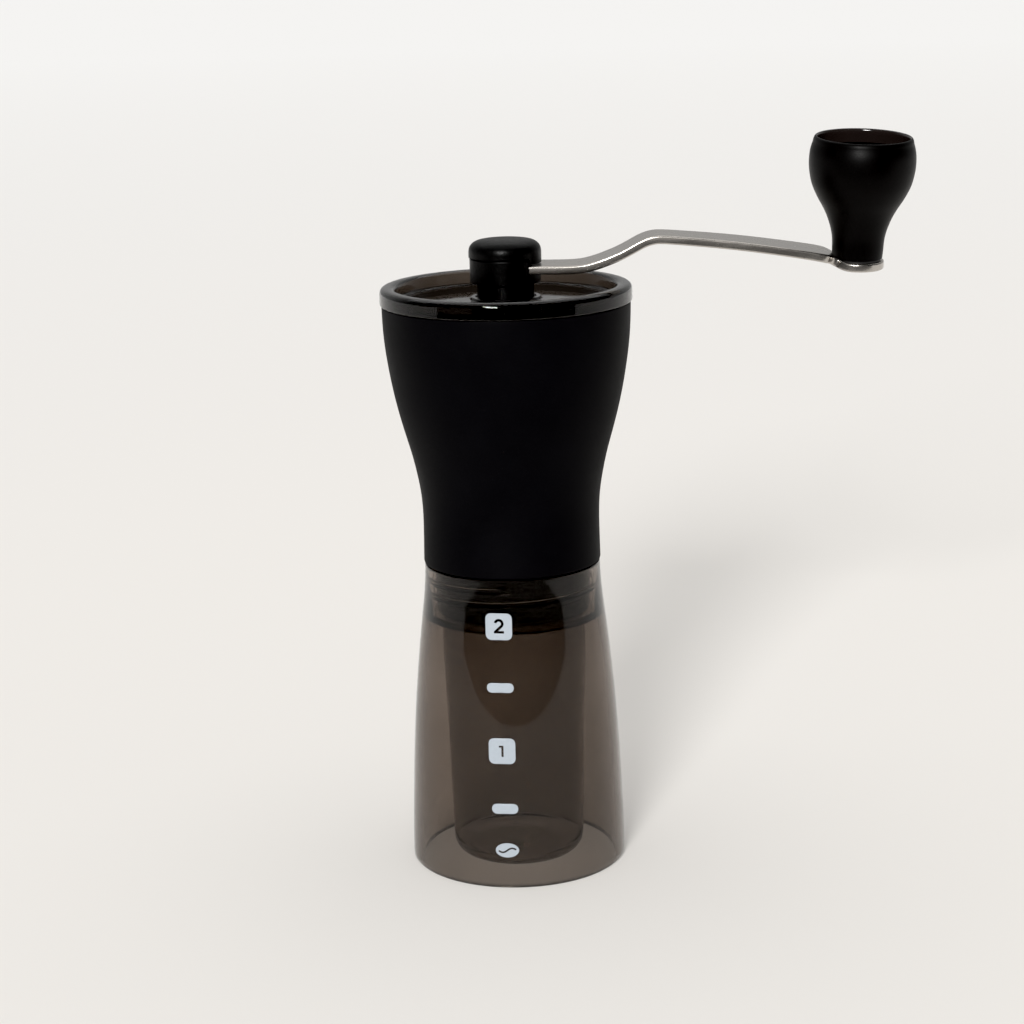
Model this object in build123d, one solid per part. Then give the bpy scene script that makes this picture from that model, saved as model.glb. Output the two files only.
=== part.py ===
from build123d import *

import os
from math import cos, pi, radians, sin, sqrt, tan

# Slim hand coffee mill.  Millimetres, +Z up.
# Origin: centre of the jar's foot ring, on the surface the mill stands on.
# The mill's own axis is Z; the crank arm points along +X at rest.

# ---------------------------------------------------------------- dimensions
# jar
FOOT_R = 31.55            # outside radius of the skirt at the table
JAR_TOP = 90.0            # rim of the threaded collar
JAR_TOP_R = 25.5
SKIRT_WALL = 2.5
COLLAR_BORE = 23.75       # bore of the collar, at the thread root
COLLAR_FLOOR = 75.7       # top of the web that joins cup and skirt
WEB = 1.5
CUP_MOUTH_R = 19.6
CUP_FLOOR = 2.8
CUP_UNDER = 1.3           # the cup hangs this far above the table

# hopper
HOPPER_LOW = 90.35        # shoulder that seats on the jar rim
HOPPER_TOP = 165.6
HOPPER_TOP_R = 35.5
MOUTH_R = 33.0
SPIGOT_R = 22.7           # thread root
SPIGOT_LOW = 76.0
SPIGOT_BORE = 21.2
THREAD_PITCH = 4.0
MALE_CREST = 23.1
FEMALE_CREST = 23.35      # clears the male crest, so the hopper can lift straight

# grinding set
CARRIER_R = 21.1
RING_R = 18.95            # outside of the outer burr
RING_LOW, RING_TOP = 80.5, 92.2
THROAT_Z, THROAT_R = 86.5, 12.2
BURR_LOW, BURR_TOP = 80.4, 93.05
BURR_SLOPE = 0.5          # radius lost per mm of height on the fine band
BURR_R = 14.85
CORE_R = 5.0

# shaft
SHAFT_R = 3.5
FLAT = 2.6                # half width over the flats
HEX_AF = 6.0              # hexagon that carries the crank
HEX_LOW, SHAFT_TOP = 158.0, 176.9
THREAD_R = 2.5            # M5 end for the adjusting nut
SHAFT_LOW = 70.8

# lid
LID_R = 36.0
LID_LOW = 165.8
LID_CREST = 170.6
LID_FLOOR = 166.5

# crank
ARM_W, ARM_T = 15.0, 2.4
EYE_X, EYE_Z, EYE_R = 99.9, 175.35, 7.6
LEAN_OUT, LEAN_FRONT = 2.0, 5.0      # degrees that the knob axis leans
HUB_R, NECK_R, CAP_R = 10.1, 8.15, 10.35
HUB_LOW, NECK_LOW, HUB_TOP, CAP_TOP = 171.3, 167.0, 178.3, 183.65
INSERT_AF = 9.0

RUN = 0.05                # running clearance on radius


# ------------------------------------------------------------------- helpers
def outline(*runs):
    """Closed face in the XZ plane.  Each run is a kind and its (radius, height) points."""
    edges = []
    for kind, pts in runs:
        if kind == "s":
            edges.append(Spline(*pts))
        elif kind == "a":
            edges.append(ThreePointArc(*pts))
        else:
            edges += [Line(a, b) for a, b in zip(pts, pts[1:])]
    return Plane.XZ * make_face([e.edge() for e in edges])


def turned(*runs):
    return revolve(outline(*runs), Axis.Z)


def ring(r_in, r_out, z0, z1):
    if r_in <= 0:
        return Pos(0, 0, z0) * Cylinder(r_out, z1 - z0, align=(Align.CENTER, Align.CENTER, Align.MIN))
    pts = [(r_in, z0), (r_out, z0), (r_out, z1), (r_in, z1), (r_in, z0)]
    return turned(("l", pts))


def sector(r_in, r_out, z0, z1, start, sweep_deg):
    face = outline(("l", [(r_in, z0), (r_out, z0), (r_out, z1), (r_in, z1), (r_in, z0)]))
    return Rot(Z=start) * revolve(face, Axis.Z, sweep_deg)


def hex_prism(af, z0, z1):
    return Pos(0, 0, z0) * extrude(RegularPolygon(af / 2, 6, major_radius=False), z1 - z0)


def double_d(r, half_flat, z0, z1):
    bar = ring(0, r, z0, z1)
    return bar & Pos(0, 0, (z0 + z1) / 2) * Box(2 * r + 2, 2 * half_flat, z1 - z0)


def coil(radius, wire_r, pitch, height, z0):
    """Helical spring; the wire is an octagon in section, to keep its faces light."""
    path = Helix(pitch, height, radius)
    start = path @ 0
    sect = Plane(origin=start, x_dir=(1, 0, 0), z_dir=path % 0) * RegularPolygon(wire_r, 8)
    return Pos(0, 0, z0) * sweep(sect, path, is_frenet=True)


def thread_ridge(root_r, crest_r, base_w, tip_w, pitch, height, z0):
    """Helical ridge of trapezoid section, its base sunk a little into the wall."""
    inward = -1 if crest_r < root_r else 1
    sink = root_r - inward * 0.25
    path = Helix(pitch, height, sink)
    frame = Plane(origin=path @ 0, x_dir=(1, 0, 0), z_dir=path % 0)
    depth = abs(crest_r - sink)
    # local x is radial, local y is across the thread
    pts = [
        (0, -base_w / 2),
        (inward * depth, -tip_w / 2),
        (inward * depth, tip_w / 2),
        (0, base_w / 2),
    ]
    sect = frame * make_face(Polyline(*pts, close=True))
    return Pos(0, 0, z0) * sweep(sect, path, is_frenet=True)


def keep(name, shape, color=None):
    solids = shape.solids()
    out = solids[0] if len(solids) == 1 else Compound(children=list(solids))
    out.label = name
    export_step(out, f"parts/{name}.step")
    return out


# ----------------------------------------------------------------------- jar
jar_outer = [
    (FOOT_R, 0.7), (31.42, 10), (31.05, 20), (30.62, 30), (30.05, 40), (29.3, 50),
    (28.38, 60), (27.3, 70), (26.1, 80), (25.68, 85), (JAR_TOP_R, 89.4),
]
skirt_inner = [
    (24.3, COLLAR_FLOOR - WEB - 1.2), (25.35, 65), (26.6, 54), (27.52, 40), (28.1, 30), (28.55, 20), (28.95, 7), (29.0, 0),
]
jar = turned(
    ("l", [(29.0, 0), (30.9, 0)]),
    ("a", [(30.9, 0), (31.37, 0.2), (FOOT_R, 0.7)]),
    ("s", jar_outer),
    ("a", [(JAR_TOP_R, 89.4), (25.32, 89.82), (24.9, JAR_TOP)]),
    ("l", [(24.9, JAR_TOP), (24.25, JAR_TOP), (COLLAR_BORE, 89.5), (COLLAR_BORE, COLLAR_FLOOR), (CUP_MOUTH_R + 0.5, COLLAR_FLOOR)]),
    ("a", [(CUP_MOUTH_R + 0.5, COLLAR_FLOOR), (CUP_MOUTH_R + 0.15, COLLAR_FLOOR - 0.15), (CUP_MOUTH_R, COLLAR_FLOOR - 0.5)]),
    ("l", [(CUP_MOUTH_R, COLLAR_FLOOR - 0.5), (17.95, 6.9)]),
    ("a", [(17.95, 6.9), (16.72, 3.98), (13.8, CUP_FLOOR)]),
    ("l", [(13.8, CUP_FLOOR), (0, CUP_FLOOR), (0, CUP_UNDER), (14.3, CUP_UNDER)]),
    ("a", [(14.3, CUP_UNDER), (17.85, 2.8), (19.3, 6.3)]),
    ("l", [(19.3, 6.3), (21.0, COLLAR_FLOOR - WEB - 1.2)]),
    ("a", [(21.0, COLLAR_FLOOR - WEB - 1.2), (21.4, COLLAR_FLOOR - WEB - 0.35), (22.2, COLLAR_FLOOR - WEB)]),
    ("l", [(22.2, COLLAR_FLOOR - WEB), (23.2, COLLAR_FLOOR - WEB)]),
    ("a", [(23.2, COLLAR_FLOOR - WEB), (24.0, COLLAR_FLOOR - WEB - 0.4), (24.3, COLLAR_FLOOR - WEB - 1.2)]),
    ("s", skirt_inner),
)
# moulding gate nub under the cup
jar += ring(0, 1.3, CUP_UNDER - 0.35, CUP_UNDER + 0.2)
jar += thread_ridge(COLLAR_BORE, FEMALE_CREST, 1.7, 0.8, THREAD_PITCH, 7.0, 79.6)
keep("grounds_jar", jar)

# -------------------------------------------------------------------- hopper
hopper_outer = [
    (HOPPER_TOP_R, 165.0), (35.2, 157), (34.15, 148), (32.75, 140), (31.4, 134), (29.8, 128),
    (28.15, 122), (26.8, 115.8), (25.9, 110), (25.55, 104), (25.57, 98), (25.7, 91.0),
]
hopper_inner = [
    (23.3, 102.6), (23.45, 108), (24.2, 114), (25.45, 120), (27.45, 128), (29.05, 134),
    (30.4, 140), (31.75, 148), (32.6, 155), (MOUTH_R, 160),
]
hopper = turned(
    ("l", [(MOUTH_R, 160), (MOUTH_R, 165.2), (MOUTH_R + 0.4, HOPPER_TOP), (34.9, HOPPER_TOP)]),
    ("a", [(34.9, HOPPER_TOP), (35.33, 165.43), (HOPPER_TOP_R, 165.0)]),
    ("s", hopper_outer),
    ("a", [(25.7, 91.0), (25.52, 90.54), (25.1, HOPPER_LOW)]),
    ("l", [
        (25.1, HOPPER_LOW), (SPIGOT_R, HOPPER_LOW), (SPIGOT_R, SPIGOT_LOW + 0.5), (SPIGOT_R - 0.5, SPIGOT_LOW),
        (SPIGOT_BORE, SPIGOT_LOW), (SPIGOT_BORE, 92.4), (16.8, 92.4), (16.8, 94.0), (23.3, 102.6),
    ]),
    ("s", hopper_inner),
)
hopper += thread_ridge(SPIGOT_R, MALE_CREST, 1.7, 0.8, THREAD_PITCH, 7.0, 77.8)
# bayonet tracks for the burr carrier: an upright entry and a short turn
for a in (0, 120, 240):
    hopper -= sector(SPIGOT_BORE - 0.3, 22.0, SPIGOT_LOW - 1, 89.3, a - 12, 24)
    hopper -= sector(SPIGOT_BORE - 0.3, 22.0, 86.7, 89.3, a + 11, 32)
keep("hopper_body", hopper)

# -------------------------------------------------- shaft guide and its bush
guide = ring(4.55, 6.8, 104.3, 124.0) + ring(21.2, 23.1, 103.2, 106.0)
for a in (90, 210, 330):
    arm_face = outline(("l", [(5.6, 104.3), (21.9, 103.2), (21.9, 106.0), (7.4, 116.5), (5.6, 117.5), (5.6, 104.3)]))
    guide += Rot(Z=a) * extrude(arm_face, 1.4, both=True)
guide -= ring(0, 4.55, 100, 130)
keep("shaft_guide", guide)

bush = ring(SHAFT_R + RUN, 4.5, 104.3, 124.0) + ring(SHAFT_R + RUN, 6.2, 124.0, 124.9)
keep("shaft_bush", bush)

# -------------------------------------------------------------- burr carrier
carrier = turned(("l", [
    (16.2, 77.0), (20.6, 77.0), (CARRIER_R, 77.5), (CARRIER_R, 92.3), (19.0, 92.3), (19.0, RING_LOW),
    (16.2, RING_LOW), (16.2, 77.0),
]))
for a in (30, 150, 270):
    carrier += sector(CARRIER_R - 0.4, 21.85, 87.0, 89.0, a - 8, 16)
# finger notches round the lower lip
for i in range(6):
    carrier -= Rot(Z=60 * i + 10) * Pos(16.4, 0, 77.0) * Cylinder(1.6, 2.4)
keep("burr_carrier", carrier)

# ---------------------------------------------------------------- outer burr
ring_burr = turned(("l", [
    (15.2, RING_LOW), (RING_R - 0.4, RING_LOW), (RING_R, RING_LOW + 0.4), (RING_R, RING_TOP - 0.4),
    (RING_R - 0.4, RING_TOP), (16.4, RING_TOP), (THROAT_R, THROAT_Z), (15.2, RING_LOW),
]))
fine_cone = 26.57         # half angle of the fine band, degrees
cuts = []
for i in range(36):
    cuts.append(Rot(Z=10 * i) * Pos(13.7, 0, 83.3) * Rot(Y=-fine_cone) * Rot(X=16) * Rot(Z=45) * Box(0.75, 0.75, 9.5))
for i in range(7):
    cuts.append(Rot(Z=360 / 7 * i) * Pos(15.2, 0, 90.6) * Rot(Y=32) * Rot(X=28) * Cylinder(1.5, 11))
ring_burr -= cuts
keep("outer_burr", ring_burr)

# ---------------------------------------------------------------- inner burr
cone = turned(("l", [
    (5.05, BURR_LOW), (BURR_R - 0.3, BURR_LOW), (BURR_R - 0.2, BURR_LOW + 0.4), (BURR_R - 0.5 * 6.0, BURR_LOW + 6.0),
    (7.4, BURR_TOP - 0.4), (6.9, BURR_TOP), (3.75, BURR_TOP), (3.75, 91.5), (5.05, 91.5), (5.05, BURR_LOW),
]))
cuts = []
for i in range(30):
    cuts.append(Rot(Z=12 * i) * Pos(13.35, 0, 83.2) * Rot(Y=-fine_cone) * Rot(X=-16) * Rot(Z=45) * Box(0.75, 0.75, 9.0))
for i in range(5):
    cuts.append(Rot(Z=72 * i) * Pos(10.6, 0, 90.0) * Rot(Y=-33) * Rot(X=-32) * Cylinder(1.9, 13))
cone -= cuts
keep("inner_burr", cone)

core = ring(0, CORE_R, 79.5, 91.45) + ring(0, 11.0, 78.8, 80.35)
for i in range(12):
    core -= Rot(Z=30 * i) * Pos(8.6, 0, 78.8) * Rot(X=45) * Box(5.2, 0.7, 0.7)
core -= double_d(SHAFT_R + RUN, FLAT + RUN, 78, 92)
keep("burr_core", core)

# ----------------------------------------------------- spring and its washers
keep("lower_spring_washer", ring(SHAFT_R + 0.15, 6.4, 93.1, 93.7))
keep("upper_spring_washer", ring(SHAFT_R + RUN, 6.6, 103.6, 104.2))
spring = coil(5.05, 0.45, 1.72, 8.6, 94.25)
keep("burr_spring", spring)

# --------------------------------------------------------------- drive shaft
shaft = ring(0, THREAD_R - RUN, SHAFT_LOW, 79.5)
shaft += double_d(SHAFT_R, FLAT, 79.3, 94.5)      # the flats stop clear of the nut at its finest setting
shaft += ring(0, SHAFT_R, 94.5, HEX_LOW)
shaft += hex_prism(HEX_AF, HEX_LOW, SHAFT_TOP) & ring(0, SHAFT_R, HEX_LOW - 1, SHAFT_TOP + 1)
shaft -= ring(2.9, 5, 125.55, 126.45)
tip = turned(("l", [(0, SHAFT_TOP + 0.1), (0, SHAFT_TOP + 2), (6, SHAFT_TOP + 2), (6, SHAFT_TOP - 3.1), (2.85, SHAFT_TOP + 0.1), (0, SHAFT_TOP + 0.1)]))
shaft -= tip
# crests of the M5 thread
for i in range(9):
    z = SHAFT_LOW + 0.7 + 0.8 * i
    shaft -= turned(("l", [(2.15, z), (2.6, z - 0.3), (2.6, z + 0.3), (2.15, z)]))
keep("drive_shaft", shaft)

keep("thrust_washer", ring(SHAFT_R + RUN, 6.0, 124.95, 125.5))
clip = ring(2.95, 5.9, 125.6, 126.4)
clip -= Pos(4, 0, 126) * Box(8, 4.6, 2)
clip -= Rot(Z=120) * Pos(4.6, 0, 126) * Cylinder(1.0, 2)
clip -= Rot(Z=-120) * Pos(4.6, 0, 126) * Cylinder(1.0, 2)
keep("retaining_clip", clip)

# ------------------------------------------------------------ adjusting nut
nut = ring(0, 9.4, 72.6, 78.65)
for i in range(8):
    nut += Rot(Z=45 * i) * Pos(8.7, 0, 75.625) * Cylinder(2.1, 6.05)
for i in range(8):
    nut -= Rot(Z=45 * i + 22.5) * Pos(11.0, 0, 75.6) * Cylinder(2.0, 8)
nut -= ring(0, 4.1, 70, 80)
nut -= ring(5.4, 7.4, 72.0, 73.6)
keep("adjusting_nut", nut)
insert = ring(THREAD_R + RUN, 4.05, 72.3, 78.65)
keep("nut_insert", insert)

# ----------------------------------------------------------------------- lid
lid = turned(
    ("l", [(4.0, LID_FLOOR - 2.0), (30.4, LID_FLOOR - 2.0), (31.1, 163.6), (31.1, 160.4), (31.5, 160.0), (32.4, 160.0), (32.7, 160.5), (32.7, LID_LOW), (35.6, LID_LOW)]),
    ("a", [(35.6, LID_LOW), (35.88, 165.92), (LID_R, 166.2)]),
    ("l", [(LID_R, 166.2), (35.98, 168.9)]),
    ("s", [(35.98, 168.9), (35.78, 169.8), (35.15, 170.38), (34.3, 170.58), (33.3, LID_CREST), (32.35, 170.45), (31.7, 170.0), (31.35, 169.2)]),
    ("l", [(31.35, 169.2), (31.0, 167.3)]),
    ("a", [(31.0, 167.3), (30.7, 166.75), (30.1, LID_FLOOR)]),
    ("l", [(30.1, LID_FLOOR), (10.2, LID_FLOOR)]),
    ("a", [(10.2, LID_FLOOR), (9.98, 166.95), (9.6, 167.35)]),
    ("l", [(9.6, 167.35), (8.9, 167.35), (8.65, 167.1), (8.65, LID_FLOOR), (4.0, LID_FLOOR), (4.0, LID_FLOOR - 2.0)]),
)
keep("lid", lid)

# --------------------------------------------------------------------- crank
# top line of the strip, from the hub outwards
arm_top = [
    (20.2, 176.4), (22.4, 176.62), (24.7, 177.15), (27.0, 177.85), (29.2, 178.65), (31.5, 179.55), (33.7, 180.6),
    (36.0, 181.8), (38.2, 182.95), (40.5, 183.8), (42.8, 184.2), (45.5, 184.15), (51.7, 183.6), (60.7, 182.65),
    (69.7, 181.5), (78.6, 180.15), (85.5, 179.0), (89.6, 178.2), (91.7, 177.6), (93.5, 176.75), (95.1, 175.95), (96.9, 175.48),
]


def under(points, t, first_dir):
    """Points offset square to a line of points, by t downwards."""
    out = []
    n = len(points)
    for i, (x, z) in enumerate(points):
        if i == 0:
            dx, dz = first_dir
        else:
            a, b = points[max(i - 1, 0)], points[min(i + 1, n - 1)]
            dx, dz = b[0] - a[0], b[1] - a[1]
        m = sqrt(dx * dx + dz * dz)
        out.append((x + dz / m * t, z - dx / m * t))
    return out


arm_under = under(arm_top, ARM_T, (1, 0))
end_top, end_low = arm_top[-1], arm_under[-1]
side = outline(
    ("l", [(-8.0, 176.4), arm_top[0]]),
    ("s", arm_top),
    ("l", [end_top, (99.7, 175.3), (99.7, 172.95), end_low]),
    ("s", list(reversed(arm_under))),
    ("l", [arm_under[0], (-8.0, 174.0), (-8.0, 176.4)]),
)
strip = extrude(side, 12, both=True)
plan = make_face([e.edge() for e in [
    ThreePointArc((0, 7.5), (-7.5, 0), (0, -7.5)),
    Line((0, -7.5), (88.2, -7.5)),
    ThreePointArc((88.2, -7.5), (91.2, -6.75), (93.2, -4.9)),
    Line((93.2, -4.9), (99.8, -4.9)),
    Line((99.8, -4.9), (99.8, 4.9)),
    Line((99.8, 4.9), (93.2, 4.9)),
    ThreePointArc((93.2, 4.9), (91.2, 6.75), (88.2, 7.5)),
    Line((88.2, 7.5), (0, 7.5)),
]])
arm = strip & Pos(0, 0, 165) * extrude(plan, 25)
tilt = Pos(EYE_X, 0, EYE_Z) * Rot(Y=LEAN_OUT) * Rot(X=LEAN_FRONT)
eye = Cylinder(EYE_R, ARM_T, align=(Align.CENTER, Align.CENTER, Align.MAX))
arm -= tilt * Cylinder(EYE_R + 0.1, 8, align=(Align.CENTER, Align.CENTER, Align.MIN))
arm -= tilt * Pos(0, 0, -ARM_T) * Cylinder(EYE_R + 0.1, 8, align=(Align.CENTER, Align.CENTER, Align.MAX))
arm += tilt * eye
arm -= tilt * Cylinder(3.1, 12)
# countersink for the rivet's flush head
arm -= tilt * turned(("l", [(0, -3.5), (4.6, -3.5), (4.6, -2.27), (3.1, -0.99), (0, -0.99), (0, -3.5)]))
arm -= hex_prism(INSERT_AF + 0.2, 170, 180)
keep("crank_arm", arm)

keep("hex_insert", hex_prism(INSERT_AF, NECK_LOW + 0.3, 176.6) - hex_prism(HEX_AF + 2 * RUN, 160, 180))

hub = turned(("l", [
    (0, NECK_LOW), (NECK_R - 0.3, NECK_LOW), (NECK_R, NECK_LOW + 0.3), (NECK_R, HUB_LOW - 0.5), (NECK_R + 0.4, HUB_LOW),
    (HUB_R - 0.3, HUB_LOW), (HUB_R, HUB_LOW + 0.3), (HUB_R, HUB_TOP), (0, HUB_TOP), (0, NECK_LOW),
]))
# pocket for the strip: round at the back, open to +X
hub -= ring(0, 7.8, 173.95, 180)
hub -= Pos(6.0, 0, 176.95) * Box(12.0, 15.6, 6.0)
hub -= hex_prism(INSERT_AF + 0.1, NECK_LOW + 0.3, 180)
hub -= hex_prism(HEX_AF + 0.3, 160, 170)
keep("hub_socket", hub)

cap = turned(
    ("l", [(0, HUB_TOP + 0.05), (CAP_R - 0.15, HUB_TOP + 0.05), (CAP_R, HUB_TOP + 0.2), (CAP_R, 180.0)]),
    ("s", [(CAP_R, 180.0), (10.15, 181.17), (9.5, 182.2), (8.4, 182.95), (6.6, 183.39), (3.4, 183.6), (0, CAP_TOP)]),
    ("l", [(0, CAP_TOP), (0, HUB_TOP + 0.05)]),
)
tab = (ring(0, 7.6, 176.75, 178.45) + Pos(6.0, 0, 177.6) * Box(12.0, 15.2, 1.7)) & ring(0, HUB_R, 170, 182)
cap += tab
cap -= ring(0, 4.4, 170, SHAFT_TOP + RUN)
cap -= hex_prism(INSERT_AF + 0.2, 170, SHAFT_TOP + RUN)
keep("hub_cap", cap)

# ---------------------------------------------------------------------- knob
# local heights are measured along the leaning axis from the top of the eye
knob_outer = [
    (7.1, 1.0), (7.2, 2.35), (7.28, 4.45), (7.45, 6.4), (7.85, 8.35), (8.5, 10.45), (9.45, 12.8), (10.65, 15.1),
    (11.95, 17.25), (13.05, 19.35), (13.95, 21.5), (14.55, 23.9), (14.9, 26.35), (14.95, 28.65), (14.7, 31.15), (14.1, 33.3),
]
knob_inner = [
    (12.85, 34.05), (13.2, 31.95), (13.35, 29.4), (13.15, 26.35), (12.55, 23.4), (11.4, 20.3), (9.75, 17.25), (7.9, 14.4),
    (6.4, 12.2), (5.6, 10.7),
]
knob = turned(
    ("l", [(3.05, 0.55), (6.7, 0.55)]),
    ("a", [(6.7, 0.55), (6.98, 0.67), (7.1, 1.0)]),
    ("s", knob_outer),
    ("s", [(14.1, 33.3), (13.9, 34.2), (13.5, 34.82), (13.1, 34.78), (12.85, 34.05)]),
    ("s", knob_inner),
    ("l", [(5.6, 10.7), (4.8, 10.7), (4.8, 9.2), (3.05, 9.2), (3.05, 0.55)]),
)
keep("knob", tilt * knob)
rivet = turned(("l", [
    (0, -2.45), (4.3, -2.45), (4.45, -2.3), (3.0, -1.05), (3.0, 9.25), (4.5, 9.25), (4.5, 9.9), (3.9, 10.4), (2.6, 10.7), (0, 10.8), (0, -2.45),
]))
keep("knob_rivet", tilt * rivet)
keep("knob_washer", tilt * ring(3.1, 6.6, 0.02, 0.48))
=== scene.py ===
import math

import bmesh
import bpy
import numpy as np
from mathutils import Matrix, Vector
from mathutils.geometry import delaunay_2d_cdt


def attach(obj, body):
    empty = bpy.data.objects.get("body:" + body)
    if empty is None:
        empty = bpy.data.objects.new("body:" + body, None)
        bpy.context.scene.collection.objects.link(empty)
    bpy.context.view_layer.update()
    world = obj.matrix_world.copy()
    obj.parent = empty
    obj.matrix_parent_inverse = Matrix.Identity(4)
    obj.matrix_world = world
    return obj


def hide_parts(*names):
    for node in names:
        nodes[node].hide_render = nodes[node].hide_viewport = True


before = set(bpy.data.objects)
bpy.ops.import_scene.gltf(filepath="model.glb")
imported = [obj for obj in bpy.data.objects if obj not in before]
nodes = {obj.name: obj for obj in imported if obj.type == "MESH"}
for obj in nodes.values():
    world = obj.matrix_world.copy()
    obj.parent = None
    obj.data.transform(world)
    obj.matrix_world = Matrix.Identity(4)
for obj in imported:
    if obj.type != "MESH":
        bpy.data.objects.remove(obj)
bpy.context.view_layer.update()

MM = 0.001
scene = bpy.context.scene


# =============================================================== camera
def make_camera():
    pitch, yaw, roll = 0.23592, 0.00031, -0.024829
    cp, sp, cy, sy = math.cos(pitch), math.sin(pitch), math.cos(yaw), math.sin(yaw)
    look = Vector((sy * cp, cy * cp, -sp))
    right = Vector((cy, -sy, 0))
    up = right.cross(look)
    cr, sr = math.cos(roll), math.sin(roll)
    r2 = cr * right + sr * up
    u2 = -sr * right + cr * up
    data = bpy.data.cameras.new("camera")
    data.sensor_width = 36.0
    data.lens = 87.10
    data.clip_start, data.clip_end = 0.01, 100
    cam = bpy.data.objects.new("camera", data)
    m = Matrix((r2, u2, -look)).transposed().to_4x4()
    m.translation = Vector((0, -0.700, 0.2722))
    cam.matrix_world = m
    scene.collection.objects.link(cam)
    scene.camera = cam


make_camera()


# =============================================================== curves
def spline(points, step=1.2, closed_ends=True):
    """Natural cubic through the points, sampled about every step mm."""
    p = np.array(points, float)
    d = np.hypot(*np.diff(p, axis=0).T)
    t = np.concatenate([[0], np.cumsum(d)])
    n = len(p)
    h = np.diff(t)
    a = np.zeros((n, n))
    b = np.zeros((n, 2))
    a[0, 0] = a[-1, -1] = 1
    for i in range(1, n - 1):
        a[i, i - 1], a[i, i], a[i, i + 1] = h[i - 1], 2 * (h[i - 1] + h[i]), h[i]
        b[i] = 6 * ((p[i + 1] - p[i]) / h[i] - (p[i] - p[i - 1]) / h[i - 1])
    m = np.linalg.solve(a, b)
    k = max(n, int(math.ceil(t[-1] / step)) + 1)
    out = []
    for s in np.linspace(0, t[-1], k):
        i = min(max(np.searchsorted(t, s) - 1, 0), n - 2)
        u, v = t[i + 1] - s, s - t[i]
        out.append(
            (m[i] * u**3 + m[i + 1] * v**3) / (6 * h[i])
            + (p[i] / h[i] - m[i] * h[i] / 6) * u
            + (p[i + 1] / h[i] - m[i + 1] * h[i] / 6) * v
        )
    return [tuple(q) for q in out]


def profile(items, seg=5, support=0.18, step=2.5):
    """A closed or open outline in (r, z).  An item is (r, z), (r, z, fillet) or a list of spline points.
    Straight runs get support points beside each corner, so smooth shading stays on the corners."""
    pts = []
    for it in items:
        if isinstance(it, list):
            pts += [(q[0], q[1], 0.0, True) for q in it]
        else:
            pts.append((it[0], it[1], it[2] if len(it) > 2 else 0.0, False))
    out = []
    n = len(pts)
    for i, (x, z, f, smooth) in enumerate(pts):
        if f > 0 and 0 < i < n - 1:
            p = np.array((x, z))
            a = np.array(pts[i - 1][:2]) - p
            b = np.array(pts[i + 1][:2]) - p
            la, lb = np.linalg.norm(a), np.linalg.norm(b)
            a, b = a / la, b / lb
            ang = math.acos(max(-1, min(1, float(a @ b))))
            if ang > math.pi - 0.02:
                out.append((x, z, smooth))
                continue
            cut = min(f / math.tan(ang / 2), 0.49 * la, 0.49 * lb)
            rad = cut * math.tan(ang / 2)
            mid = (a + b) / np.linalg.norm(a + b)
            c = p + mid * (rad / math.sin(ang / 2))
            s, e = p + a * cut - c, p + b * cut - c
            sweep = math.pi - ang
            k = max(2, int(round(seg * sweep / (math.pi / 2))))
            for j in range(k + 1):
                w = j / k
                q = (math.sin((1 - w) * sweep) * s + math.sin(w * sweep) * e) / math.sin(sweep)
                out.append((c[0] + q[0], c[1] + q[1], smooth))
        else:
            out.append((x, z, smooth))
    dense = [out[0][:2]]
    for (x0, z0, s0), (x1, z1, s1) in zip(out, out[1:]):
        length = math.hypot(x1 - x0, z1 - z0)
        if length < 1e-6:
            continue
        if length > 0.9 and not (s0 and s1):
            marks = [min(support / length, 0.3)]
            inner = length - 2 * support
            k = int(inner / step)
            marks += [(support + inner * j / (k + 1)) / length for j in range(1, k + 1)]
            marks.append(1 - marks[0])
            dense += [(x0 + (x1 - x0) * m, z0 + (z1 - z0) * m) for m in sorted(marks)]
        dense.append((x1, z1))
    return dense


def mesh_object(name, verts, faces, mat=None):
    me = bpy.data.meshes.new(name)
    me.from_pydata(verts, [], faces)
    me.validate()
    bm = bmesh.new()
    bm.from_mesh(me)
    bmesh.ops.remove_doubles(bm, verts=bm.verts, dist=1e-7)
    bmesh.ops.dissolve_degenerate(bm, dist=1e-8, edges=bm.edges)
    bmesh.ops.recalc_face_normals(bm, faces=bm.faces)
    bm.to_mesh(me)
    bm.free()
    me.polygons.foreach_set("use_smooth", [True] * len(me.polygons))
    me.update()
    ob = bpy.data.objects.new(name, me)
    scene.collection.objects.link(ob)
    if mat:
        me.materials.append(mat)
    return ob


def lathe(name, pts, mat, seg=192, warp=None, matrix=None):
    """Closed solid turned from an outline.  Ends on the axis close to a point, otherwise the outline is a loop."""
    verts, faces, rows = [], [], []
    loop = not (abs(pts[0][0]) < 1e-9 and abs(pts[-1][0]) < 1e-9)
    for r, z in pts:
        if r < 1e-9:
            rows.append([len(verts)])
            verts.append((0, 0, z * MM))
            continue
        row = []
        for j in range(seg):
            th = 2 * math.pi * j / seg
            rr, zz = warp(r, z, th) if warp else (r, z)
            row.append(len(verts))
            verts.append((rr * math.cos(th) * MM, rr * math.sin(th) * MM, zz * MM))
        rows.append(row)
    pairs = list(zip(rows, rows[1:])) + ([(rows[-1], rows[0])] if loop else [])
    for a, b in pairs:
        if len(a) == 1 and len(b) == 1:
            continue
        for j in range(seg):
            k = (j + 1) % seg
            if len(a) == 1:
                faces.append((a[0], b[k], b[j]))
            elif len(b) == 1:
                faces.append((a[j], a[k], b[0]))
            else:
                faces.append((a[j], a[k], b[k], b[j]))
    ob = mesh_object(name, verts, faces, mat)
    if matrix is not None:
        ob.data.transform(matrix)
    return ob


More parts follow.
